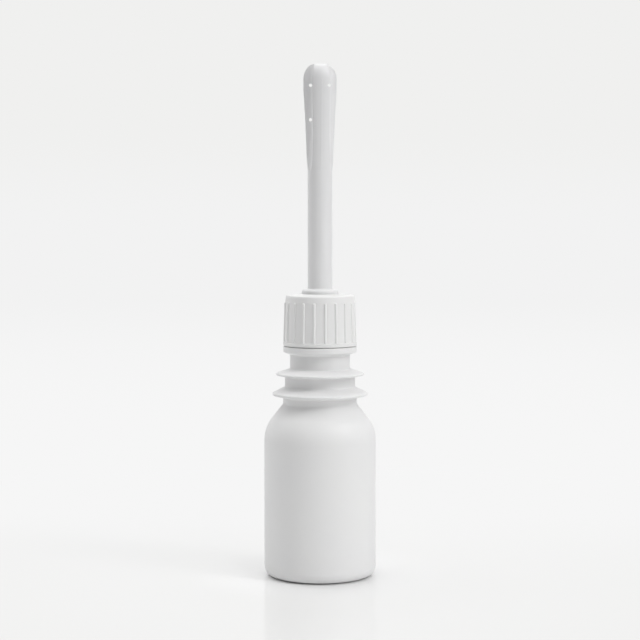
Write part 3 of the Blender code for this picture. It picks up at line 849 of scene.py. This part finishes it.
@dataclass
class Cap:
    """The screw cap: a drafted, ribbed skirt between two plain bands, threaded inside.

    Attributes:
        rise: How much higher the top is at its hole than the solid's.
        crown: Radius of the top's edge; head and skirt are those of the skirt's two ends.
        tuck: How much lower the visible low edge reaches than the solid's.
        rib_turn: Bearing of the first rib, in degrees from the front.
        rib_flank: Width over which a rib's side rises.
    """

    low: float = foot_of("cap")
    top: float = head_of("cap")
    top_wall: float = 1.6
    rise: float = 0.35
    crown: float = 14.3
    head: float = 14.6
    skirt: float = 15.1
    band: float = 15.5
    lower_band: float = 1.3
    tuck: float = 0.17
    upper_band: float = 2.9
    bore: float = 13.95
    hole: float = 7.95
    ribs: int = 20
    rib_turn: float = 8.5
    rib_height: float = 0.45
    rib_width: float = 1.2
    rib_flank: float = 0.42
    thread: Thread = Thread(foot_of("cap") + 5.68, height=1.08, root=0.95, crest=0.4)

    def columns(self) -> Array:
        """Increasing angles of the columns: dense over both flanks of each rib, then across the gap."""
        half = self.rib_width / 2
        period = 2 * pi * self.skirt / self.ribs
        near = np.array([0, 0.25, 0.34, 0.39, 0.44, 0.49, 0.54, 0.6, 0.68, 0.85]) * half / 0.6
        far = np.array([1.25, 1.75, period / 2])
        one = np.concatenate([-near[:0:-1], near, far, -far[1::-1]])
        start = radians(self.rib_turn - 90)
        angles = start + one[None] / self.skirt + 2 * pi / self.ribs * np.arange(self.ribs)[:, None]
        return np.sort((angles.ravel() + pi) % (2 * pi) - pi)

    def build(self, coat: Coat) -> None:
        """Lays the cap in one closed surface.

        Between the two bands the skirt's radius gets rib_height * flank * window. The flank is
        ease((half width + 0.06 - x) / rib_flank) at an arc distance x from the nearest rib's middle, and
        the window eases each rib in over 0.4 at its foot and out over 0.6 at its head. The bore loses
        the thread's rise. The top climbs in a flat cone to the rim of its hole.
        """
        ceiling = self.top - self.top_wall
        foot, crown = self.low + self.lower_band, self.top - self.upper_band
        rows = fillet([
            (self.hole, self.top + self.rise, 0), (self.hole + 0.7, self.top + self.rise, 0.3),
            (self.crown, self.top - 0.25, 0.9), (self.head, crown - 0.1, 1.0),
            (self.skirt, foot + 0.15, 0.1), (self.band, foot, 0.1),
            (self.band, self.low - self.tuck, 0.22), (self.bore, self.low - self.tuck, 0.35),
            (self.bore, ceiling, 0.5), (self.hole, ceiling, 0)], 7)
        rows = refine(rows, 0.9)
        inside = (rows[:, 0] < self.bore + 0.2) & (rows[:, 1] < ceiling - 4)
        first, last = np.flatnonzero(inside)[[0, -1]]
        rows = np.vstack([rows[:first], refine(rows[first:last + 1], THREAD_STEP), rows[last + 1:]])
        ends = np.concatenate([foot + np.array([0.1, 0.2, 0.3, 0.42]), crown - 0.1 * np.arange(1, 10)])
        skirt = (rows[:, 0] > self.head - 0.02) & (rows[:, 1] < crown) & (rows[:, 1] > foot)
        upper, lower = np.flatnonzero(skirt)[[0, -1]]
        heights = np.sort(np.concatenate([rows[upper:lower + 1, 1], ends]))[::-1]
        radii = np.interp(heights, rows[upper:lower + 1, 1][::-1], rows[upper:lower + 1, 0][::-1])
        rows = np.vstack([rows[:upper], np.stack([radii, heights], 1), rows[lower + 1:]])
        angles = self.columns()
        step = 2 * pi / self.ribs
        across = (angles - radians(self.rib_turn - 90) + step / 2) % step - step / 2
        flank = ease((self.rib_width / 2 + 0.06 - np.abs(across) * self.skirt) / self.rib_flank)
        z = rows[:, 1:]
        window = ease((z - foot - 0.02) / 0.4) * ease((crown - 0.05 - z) / 0.6)
        outer = (rows[:, :1] > self.head - 0.02) & (z > foot - 0.1) & (z < crown + 0.1)
        threaded = (rows[:, :1] < self.bore + 0.05) & (z < ceiling - 0.8) & (z > self.low + 0.6)
        swell = outer * window * flank * self.rib_height - threaded * self.thread.rise(z, angles[None])
        put(lay("screw_cap", turn(rows, angles, swell), looped=True), (Body.CAP,), coat, ("cap",))


@dataclass
class Washer:
    """The flat washer between the rim and the nozzle's flange."""

    outside: float = reach_of("sealing_washer")
    inside: float = 10.6
    low: float = foot_of("sealing_washer")
    high: float = head_of("sealing_washer")

    def build(self, coat: Coat) -> None:
        """Lays the washer with its edges slightly rounded by the die."""
        middle = (self.inside + self.outside) / 2
        rows = fillet([
            (middle, self.high, 0), (self.outside, self.high, 0.15), (self.outside, self.low, 0.08),
            (self.inside, self.low, 0.08), (self.inside, self.high, 0.15), (middle, self.high, 0)], 4)[:-1]
        washer = lay("foam_washer", turn(rows, ring(144)), looped=True)
        put(washer, (Body.WASHER,), coat, ("sealing_washer",))


# Heights of the nozzle's two ends, in millimetres.
TIP = head_of("nozzle")
INLET = foot_of("nozzle")


@dataclass
class Nozzle:
    """The nozzle in one moulding: plug, flange, boss, stem and the fluted, holed end.

    Attributes:
        dome_flat: Radius of the flat middle of the tip.
        bulb_band_z: Height where the bulb starts to narrow; it ends at bulb_z.
        socket: Inner and outer radius of the valve's socket.
        flute_floor: Distance of a flute's floor from the axis; flute_radius is the cutter's.
        flute_spread: Bearing of the flutes' middles from front and back, in degrees.
        flute_turn: How far all four are turned round the axis, in degrees.
        flute_fade: How much higher than the dome the cutter's path rises.
        flute_bend: Degrees of the path's arc over the dome.
        flute_run: Length over which a flute runs out below, and how far its cutter backs off.
        hole_across: Distance of the spray holes from the middle; hole_slant is in degrees.
    """

    tip: float = TIP
    dome_z: float = TIP - 6.4
    dome_flat: float = 2.2
    bulb_band_z: float = TIP - 9.4
    bulb_z: float = TIP - 44.4
    bulb: float = 7.0
    stem: float = 5.15
    bore: float = 3.75
    boss: float = 7.65
    boss_z: float = head_of("cap") + 2.2
    flange: float = reach_of("nozzle")
    flange_z: Pair = (INLET + 10.0, INLET + 11.4)
    plug: float = 10.3
    plug_wall: float = 1.1
    plug_z: float = INLET + 2.0
    socket: Pair = (4.3, 5.7)
    socket_z: float = INLET
    bore_top: float = TIP - 3.0
    flute_floor: float = 4.5
    flute_radius: float = 3.77
    flute_spread: float = 60.0
    flute_turn: float = 5.6
    flute_fade: float = 6.0
    flute_bend: float = 55.0
    flute_run: Pair = (24.0, 0.75)
    edge_drop: float = 0.07
    edge_reach: float = 0.2
    hole: float = 0.7
    hole_across: float = 3.95
    hole_slant: float = 4.1
    hole_reach: float = 9.0
    hole_front: float = -6.0
    hole_top: float = TIP - 9.2
    hole_pitch: float = 14.3

    def outside(self) -> Array:
        """Outline of the fluted end from the tip down to the stem, with no flutes yet."""
        dome_radii = (self.bulb - self.dome_flat, self.tip - self.dome_z)
        dome = ellipse_arc((self.dome_flat, self.dome_z), dome_radii, 90, 0, 34)
        shares = np.array([0, 0.05, 0.12, 0.25, 0.45, 0.65, 0.84, 1.0])
        rises = np.array([0, 0.10, 0.22, 0.32, 0.46, 0.63, 0.84, 1.0])
        along = np.linspace(1, 0, 90)
        radii = self.stem + (self.bulb - self.stem) * through(shares, rises, along)
        heights = self.bulb_z + (self.bulb_band_z - self.bulb_z) * along
        top = refine(np.array([(0, self.tip), (self.dome_flat, self.tip)]), 0.3)[:-1]
        band = refine(np.array([(self.bulb, self.dome_z), (self.bulb, self.bulb_band_z)]), 0.36)[1:-1]
        return np.vstack([top, dome, band, np.stack([radii, heights], 1)])

    def rest(self) -> Array:
        """Outline from the stem down over the boss and the flange, and up inside to the bore's end."""
        inner, outer = self.socket
        wall = self.plug - self.plug_wall
        low, high = self.flange_z
        return fillet([
            (self.stem, self.bulb_z - 0.4, 0), (self.stem, self.boss_z, 0.7),
            (self.boss, self.boss_z, 1.0), (self.boss, high, 0.2), (self.flange, high, 0.25),
            (self.flange, low, 0.25), (self.plug, low, 0.2), (self.plug, self.plug_z, 0.35),
            (wall, self.plug_z, 0.35), (wall, low, 0.3), (outer, low, 0.3), (outer, self.socket_z, 0.2),
            (inner, self.socket_z, 0.25), (inner, low, 0.2), (self.bore, low, 0.2),
            (self.bore, self.bore_top, 1.6), (0, self.bore_top, 0)], 5)

    def path(self) -> Array:
        """The line that each flute's round cutter follows, in its own plane of radius and height.

        It leans in over flute_run until it is at the floor's radius plus the cutter's, runs up the
        side, and then follows an ellipse that rises flute_fade higher than the dome, so that the flute
        runs out just below the top.
        """
        reach = self.flute_floor + self.flute_radius
        radii = (reach - self.dome_flat, self.tip - self.dome_z + self.flute_fade)
        arc = ellipse_arc((self.dome_flat, self.dome_z), radii, 0, self.flute_bend, 24)
        along = (arc[-1] - arc[-2]) / np.linalg.norm(arc[-1] - arc[-2])
        length, lean = self.flute_run
        share = np.linspace(0, 1, 9)[:, None]
        start = np.hstack([reach + lean * (1 - share) ** 2, self.bulb_z - 4 + (length + 4) * share])
        return np.vstack([start, arc, [arc[-1] + 7.4 * along]])

    def clear(self, points: Array, aside: Array) -> Array:
        """Distance from points to the flute's cutter, negative inside it.

        With d the distance in the flute's plane to the nearest stretch of the path and y the distance
        from that plane, it is sqrt(d^2 + y^2) - flute_radius.

        Args:
            points: (..., 2) radius and height in the flute's plane.
            aside: Distance from that plane.
        """
        path = self.path()
        starts, steps = path[:-1], np.diff(path, axis=0)
        offset = points[..., None, :] - starts
        share = np.clip((offset * steps).sum(-1) / (steps**2).sum(-1), 0, 1)
        gap = np.linalg.norm(offset - share[..., None] * steps, axis=-1).min(-1)
        return np.hypot(gap, aside) - self.flute_radius

    def depth(self, rows: Array, spine: Array, away: Array) -> Array:
        """Share of the way from the spine to the skin at which a flute cuts a ray, 1.2 if it doesn't.

        Each ray starts at 0.35 of its length and moves on by its distance to the cutter until it
        touches it.

        Args:
            rows: (n, 2) radius and height on the skin.
            spine: (n,) height on the axis where each row's rays start.
            away: (n, m) angle of each ray from the flute's middle, in radians.

        Returns:
            (n, m) shares.
        """
        share = np.full(away.shape, 0.35)
        length = np.hypot(rows[:, 0], rows[:, 1] - spine)[:, None] + 1e-9
        for _ in range(60):
            radius = rows[:, :1] * share
            height = spine[:, None] + (rows[:, 1:] - spine[:, None]) * share
            flat = np.stack([radius * np.cos(away), height], -1)
            gap = self.clear(flat, radius * np.sin(away))
            share = np.minimum(share + np.maximum(gap, 0) / length, 1.2)
        return share

    def fluted(self, rows: Array) -> Array:
        """Lays the fluted end's grid, its columns following both edges of every flute.

        A point is spine + share * (skin - spine), where share is the flute's depth or 1, and the land
        beside an edge drops by edge_drop (1 - x / edge_reach)^2 at a distance x, which rounds the edge.

        Args:
            rows: (n, 2) outline without flutes.

        Returns:
            (n, columns, 3) points.
        """
        spine = np.minimum(rows[:, 1], self.dome_z)
        low, high = np.zeros(len(rows)), np.full(len(rows), 0.5)
        for _ in range(22):
            middle = (low + high) / 2
            hit = self.depth(rows, spine, middle[:, None])[:, 0] < 0.9995
            low, high = np.where(hit, middle, low), np.where(hit, high, middle)
        half = np.maximum(low, radians(1.2))[:, None]
        inside = np.sin(np.linspace(-pi / 2, pi / 2, 17))[None]
        share = np.sin(np.linspace(-pi / 2, pi / 2, 19))
        land = np.sort(np.concatenate([share, [-0.055, -0.03, 0.03, 0.055]]))[None]
        groove = np.minimum(self.depth(rows, spine, half * inside * 0.995), 1)
        far = np.hypot(rows[:, :1], (rows[:, 1] - spine)[:, None])
        ridge = radians(self.flute_turn)
        spread = radians(self.flute_spread)
        centres = ridge + np.array([-pi / 2 - spread, -pi / 2 + spread, pi / 2 - spread, pi / 2 + spread])
        gap = radians(0.25)
        angles, shares = [], []
        for index, centre in enumerate(centres):
            following = centres[(index + 1) % 4] + (2 * pi if index == 3 else 0)
            angles.append(centre + half * inside * 0.995)
            shares.append(groove)
            first, last = centre + half + gap, following - half - gap
            angles.append((first + last) / 2 + (last - first) / 2 * land)
            edge = rows[:, :1] * (last - first) / 2 * (1 - np.abs(land))
            deep = 1 - groove[:, 8:9]
            drop = self.edge_drop * np.clip(1 - edge / self.edge_reach, 0, 1) ** 2 * deep / (deep + 0.06)
            line = LINE_HEIGHT * np.exp(-(rows[:, :1] * (last - first) / 2 * land / 0.11) ** 2)
            line = line * (index % 2 == 0) * (rows[:, 1:] < self.dome_z)
            shares.append(1 - (drop - line) / np.maximum(far, 1))
        angle, share = np.concatenate(angles, 1), np.concatenate(shares, 1)
        radius = rows[:, :1] * share
        height = spine[:, None] + (rows[:, 1:] - spine[:, None]) * share
        return np.stack([radius * np.cos(angle), radius * np.sin(angle), height], -1)

    def pins(self) -> list[Thing]:
        """The round pins that cut the spray holes through each pair of flutes.

        Each runs from front to back and rises by hole_slant: z = z0 + (y - y0) tan(slant), with y0 at
        the front flutes.
        """
        across = self.hole_across
        slope = tan(radians(self.hole_slant))
        places = [(-across, self.hole_top), (-across, self.hole_top - self.hole_pitch),
                  (across, self.hole_top)]
        around = np.linspace(0, 2 * pi, 28, endpoint=False)[None]
        radii = np.array([0, self.hole, self.hole, 0])[:, None]
        along = np.array([-1, -1, 1, 1])[:, None] * self.hole_reach
        made = []
        for index, (x, z) in enumerate(places):
            height = z + (along - self.hole_front) * slope + radii * np.sin(around)
            grid = np.stack([x + radii * np.cos(around), along + 0 * around, height], -1)
            made.append(lay(f"hole_pin_{index + 1}", grid))
        return made

    def build(self, coat: Coat) -> None:
        """Lays the nozzle, joins its fluted end to the rest and drills the holes."""
        end = self.fluted(self.outside())
        angles = np.arctan2(end[-1, :, 1], end[-1, :, 0])
        nozzle = lay("nozzle_moulding", np.concatenate([end, turn(refine(self.rest(), 2.0), angles)]))
        for pin in self.pins():
            cut(nozzle, pin)
        put(nozzle, (Body.NOZZLE,), coat, ("nozzle",))


@dataclass
class Valve:
    """The check valve: its body with a slotted stop, its ball and the suction tube."""

    seat_low: float = INLET + 0.7
    body: float = 4.0
    sleeve: Pair = (2.7, 3.7)
    sleeve_z: float = foot_of("valve_seat")
    flange: float = reach_of("valve_seat")
    flange_z: Pair = (INLET - 1.3, INLET - 0.3)
    chamber: float = 3.0
    stop: Pair = (head_of("valve_seat") - 1.0, head_of("valve_seat"))
    tube: Pair = (1.7, 2.4)
    tube_z: Pair = (foot_of("dip_tube"), head_of("dip_tube"))
    slant: float = 35.0
    ball: float = 2.5

    def build(self, coat: Coat) -> None:
        """Lays the seat, the ball and the tube, whose foot is cut at a slant."""
        rows = fillet([
            (3.1, self.stop[1], 0), (self.body, self.stop[1], 0.2), (self.body, self.flange_z[1], 0.1),
            (self.flange, self.flange_z[1], 0.15), (self.flange, self.flange_z[0], 0.15),
            (self.sleeve[1], self.flange_z[0], 0.15), (self.sleeve[1], self.sleeve_z, 0.15),
            (self.sleeve[0], self.sleeve_z, 0.15), (self.sleeve[0], self.flange_z[0], 0),
            (self.tube[0], self.flange_z[0], 0), (self.tube[0], self.seat_low, 0.1),
            (self.chamber, self.seat_low + 1.3, 0.1), (self.chamber, self.stop[0], 0),
            (2.1, self.stop[0], 0), (2.1, self.stop[1], 0.1), (3.1, self.stop[1], 0)], 3)[:-1]
        seat = lay("valve_seat_moulding", turn(rows, ring(64)), looped=True)
        put(seat, (Body.NOZZLE,), coat, ("valve_seat",))
        low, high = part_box("valve_ball")
        middle = (low.z + high.z) / 2 / MM
        globe = ellipse_arc((0, middle), (self.ball,) * 2, 90, -90, 24)
        globe[[0, -1], 0] = 0
        put(lay("valve_ball_globe", turn(globe, ring(48))), (Body.BALL,), coat, ("valve_ball",))
        angles = ring(48)[None]
        inner, outer = self.tube
        radii = np.array([outer - 0.1, outer, outer, outer - 0.1, inner, inner])[:, None]
        share = np.array([0, 0.001, 0.999, 1, 1, 0])[:, None]
        foot = self.tube_z[0] + tan(radians(self.slant)) * (outer + radii * np.cos(angles))
        z = self.tube_z[1] + (foot - self.tube_z[1]) * share
        grid = np.stack([radii * np.cos(angles), radii * np.sin(angles), z], -1)
        put(lay("suction_tube", grid, looped=True), (Body.NOZZLE,), coat, ("dip_tube",))


# ---- Stage ---------------------------------------------------------------------------------------


@dataclass(frozen=True)
class Softbox:
    """One soft light of the studio, drawn on the room round the bottle.

    Attributes:
        height: Its height above the horizon in degrees.
        bearing: Its bearing in degrees: 0 behind the camera, 90 on the right.
        strength: Its brightness in the middle.
        reach: Degrees from its middle where it starts to fade and where it has gone.
    """

    height: float
    bearing: float
    strength: float
    reach: Pair = (12.0, 52.0)

    def axis(self) -> tuple[float, float, float]:
        """Unit vector towards its middle."""
        up, side = radians(self.height), radians(self.bearing)
        return cos(up) * sin(side), -cos(up) * cos(side), sin(up)


SMALL = (2.0, 10.0)
NARROW = (3.0, 18.0)
STRIP = (3.0, 24.0)
# The key light is a group of small boxes high on the right of the camera, over a taller strip. The
# ceiling, the wall behind and a strip low behind on the left fill the other side and rim the plastic.
SOFTBOXES = (
    Softbox(45, 30, 5.05, SMALL), Softbox(45, 45, 2.60, SMALL), Softbox(45, 60, 7.55, SMALL),
    Softbox(35, 60, 8.10, SMALL), Softbox(25, 75, 3.95, SMALL), Softbox(15, 60, 2.42, NARROW),
    Softbox(3, 195, 0.66, STRIP), Softbox(3, 220, 0.45, STRIP), Softbox(3, 245, 1.60, STRIP),
    Softbox(90, 0, 0.82), Softbox(62, 240, 0.94), Softbox(62, 180, 0.48), Softbox(62, 120, 0.12),
    Softbox(32, 300, 0.30), Softbox(6, 135, 0.12), Softbox(6, 20, 0.31))


@dataclass
class Stage:
    """The table, the soft studio light and the camera of the photograph."""

    camera: tuple[float, float, float] = (0.0, -690.0, 149.0)
    aim: tuple[float, float, float] = (0.0, 0.0, 108.0)
    lens: float = 92.36
    wall: str = "#f0f0ef"
    wall_fade: float = 0.06

    def table(self) -> None:
        """Lays the tabletop: a grid of squares over 12 by 12 metres."""
        span = np.linspace(-6000, 6000, 13)
        x, y = np.meshgrid(span, span)
        number = np.arange(x.size).reshape(x.shape)
        points = np.stack([x, y, 0 * x], -1).reshape(-1, 3) * MM
        quads = np.stack([number[:-1, :-1], number[:-1, 1:], number[1:, 1:], number[1:, :-1]], -1)
        mesh = bpy.data.meshes.new("tabletop")
        mesh.from_pydata(points.tolist(), [], quads.reshape(-1, 4).tolist())
        floor = bpy.data.objects.new("tabletop", mesh)
        bpy.context.scene.collection.objects.link(floor)
        mesh.materials.append(Tabletop().material())

    def sky(self) -> None:
        """Lights the room with the softboxes before a pale wall.

        The camera sees the wall alone. A glossy or see-through ray sees the wall or a softbox, whichever
        is brighter there.
        """
        world = bpy.data.worlds.new("studio")
        bpy.context.scene.world = world
        world.use_nodes = True
        tree = world.node_tree
        tree.nodes.clear()
        toward = add(tree, "ShaderNodeTexCoord").outputs["Generated"]
        total = 0.0
        for box in SOFTBOXES:
            near = add(tree, "ShaderNodeVectorMath", {0: toward, 1: box.axis()}, operation="DOT_PRODUCT")
            edges = cos(radians(box.reach[1])), cos(radians(box.reach[0]))
            lobe = scale(tree, near.outputs["Value"], edges, (0, box.strength))
            total = reckon(tree, "ADD", total, lobe)
        height = add(tree, "ShaderNodeSeparateXYZ", {0: toward}).outputs["Z"]
        pale = tone(tree, scale(tree, height, (0, self.wall_fade)), Tabletop.far, self.wall)
        ray = add(tree, "ShaderNodeLightPath").outputs
        shown = reckon(tree, "MAXIMUM", ray["Is Glossy Ray"], ray["Is Transmission Ray"])
        lit = reckon(tree, "MAXIMUM", total, reckon(tree, "MULTIPLY", shown, linear(Tabletop.far)[0]))
        room = add(tree, "ShaderNodeBackground", {"Color": (1, 1, 1, 1), "Strength": lit})
        wall = add(tree, "ShaderNodeBackground", {"Color": pale, "Strength": 1.0})
        both = add(tree, "ShaderNodeMixShader", {0: ray["Is Camera Ray"], 1: room.outputs["Background"],
                                                 2: wall.outputs["Background"]})
        add(tree, "ShaderNodeOutputWorld", {"Surface": both.outputs["Shader"]})

    def view(self) -> None:
        """Places the camera at the photograph's viewing angle."""
        data = bpy.data.cameras.new("camera")
        data.lens, data.sensor_width = self.lens, 36.0
        data.clip_start, data.clip_end = 0.01, 50.0
        eye = bpy.data.objects.new("camera", data)
        eye.location = Vector(self.camera) * MM
        aim = Vector(self.aim) * MM
        eye.rotation_euler = (aim - eye.location).to_track_quat("-Z", "Y").to_euler()
        bpy.context.scene.collection.objects.link(eye)
        bpy.context.scene.camera = eye

    def build(self) -> None:
        """Sets the whole stage."""
        self.table()
        self.sky()
        self.view()
        bpy.context.scene.view_settings.view_transform = "Standard"


def main() -> None:
    """Builds every sub-assembly in order, then the stage."""
    logging.basicConfig(level=logging.INFO, format="%(message)s")
    squeeze = Coat(BOTTLE_FINISH.material(), Slot.BOTTLE)
    natural = Coat(NaturalPlastic().material(), Slot.VALVE)
    Bottle().build(squeeze)
    Bellows().build(squeeze)
    Neck().build(squeeze)
    Washer().build(Coat(FoamSheet().material(), Slot.WASHER))
    Cap().build(Coat(CAP_FINISH.material(), Slot.CAP))
    Nozzle().build(Coat(NOZZLE_FINISH.material(), Slot.NOZZLE))
    Valve().build(natural)
    Stage().build()


if __name__ == "__main__":
    main()
